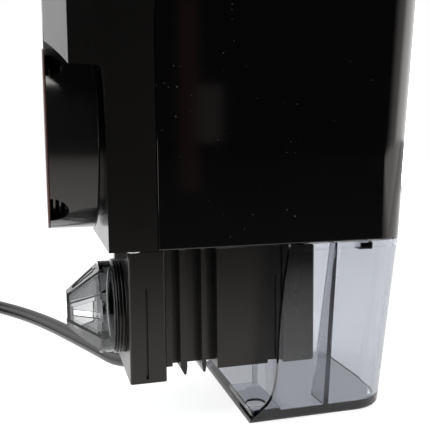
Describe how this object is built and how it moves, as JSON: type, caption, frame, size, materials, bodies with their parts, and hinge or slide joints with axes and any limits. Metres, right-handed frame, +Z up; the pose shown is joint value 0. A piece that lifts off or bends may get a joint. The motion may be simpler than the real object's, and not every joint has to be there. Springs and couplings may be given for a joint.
{
  "type": "aquarium protein skimmer",
  "caption": "Magnet-mounted internal aquarium skimmer: black body, smoked lower chamber, submersible pump with slotted strainer, cup and cord.",
  "frame": {"origin": "centre of the magnet holder's face, where it meets the aquarium glass", "axes": "+X away from the glass, +Y across the width, +Z up"},
  "size_m": [0.2796, 0.2371, 0.2778],
  "materials": {
    "satin_black": "satin moulded",
    "gloss_black": "polished moulded",
    "black_plastic": "moulded",
    "pump_black": "satin moulded",
    "smoked_clear": "smoked transparent plastic",
    "clear_plastic": "clear plastic",
    "black_rubber": "soft",
    "silicone": "translucent silicone",
    "brown_pad": "thin friction pad",
    "magnet_metal": "sintered",
    "steel": "stainless",
    "copper_winding": "enamelled winding",
    "shaft_ceramic": "ceramic",
    "cord_jacket": "smooth jacket",
    "pin_brass": "plated"
  },
  "bodies": {
    "skimmer": {"rear_frame": "satin_black", "front_shell": "gloss_black", "transfer_duct": "black_plastic", "reaction_tube": "clear_plastic", "duct_seal": "black_rubber", "bubble_plate": "black_plastic", "weir_comb": "black_plastic", "gate_rails": "black_plastic", "outlet_grille": "black_plastic", "air_nozzle": "black_plastic", "air_hose": "silicone", "air_valve_body": "black_plastic", "magnet_holder": "gloss_black", "holder_magnets": "magnet_metal", "glass_pad": "brown_pad", "holder_screws": "steel", "pump_head": "pump_black", "inlet_flange": "pump_black", "outlet_nozzle": "pump_black", "nozzle_seal": "black_rubber", "stator_coil": "copper_winding", "motor_end_cap": "pump_black", "pump_shaft": "shaft_ceramic", "front_bearing": "black_plastic", "rear_bearing": "black_rubber", "motor_housing": "pump_black", "head_seal": "black_rubber", "motor_screws": "steel", "cord_tube": "cord_jacket", "cord_coil": "cord_jacket", "cord_tail": "cord_jacket", "cord_gland": "black_rubber", "plug_body": "cord_jacket", "plug_pins": "pin_brass", "glass_bumpers": "black_rubber", "case_screws": "steel"},
    "rotor": {"rotor_magnet": "magnet_metal", "needle_wheel": "black_plastic"},
    "strainer": {"strainer": "smoked_clear"},
    "chamber": {"lower_chamber": "smoked_clear", "chamber_tabs": "smoked_clear"},
    "cup": {"collection_cup": "clear_plastic", "cup_seal": "black_rubber"},
    "lid": {"cup_lid": "gloss_black"},
    "drain_plug": {"cup_drain_plug": "black_rubber"},
    "valve_knob": {"air_valve_knob": "gloss_black"},
    "gate": {"level_gate": "black_plastic"}
  },
  "joints": [
    {"name": "rotor_spin", "type": "hinge", "parent": "skimmer", "child": "rotor", "pos_m": [0.05, 0, -0.0617], "axis": [1, 0, 0], "continuous": true},
    {"name": "strainer_twist", "type": "hinge", "parent": "skimmer", "child": "strainer", "pos_m": [0.0192, 0, -0.0617], "axis": [1, 0, 0], "range_deg": [0, 30]},
    {"name": "chamber_pull", "type": "slide", "parent": "skimmer", "child": "chamber", "axis": [0, 0, -1], "range_m": [0, 0.09]},
    {"name": "cup_lift", "type": "slide", "parent": "skimmer", "child": "cup", "axis": [0, 0, 1], "range_m": [0, 0.06]},
    {"name": "lid_lift", "type": "slide", "parent": "cup", "child": "lid", "axis": [0, 0, 1], "range_m": [0, 0.04]},
    {"name": "drain_pull", "type": "slide", "parent": "cup", "child": "drain_plug", "axis": [1, 0, 0], "range_m": [0, 0.02]},
    {"name": "valve_turn", "type": "hinge", "parent": "skimmer", "child": "valve_knob", "pos_m": [0.0243, -0.0196, 0.12], "axis": [0, 0, 1], "range_deg": [0, 270]},
    {"name": "gate_slide", "type": "slide", "parent": "skimmer", "child": "gate", "axis": [0, 0, 1], "range_m": [0, 0.012]}
  ]
}
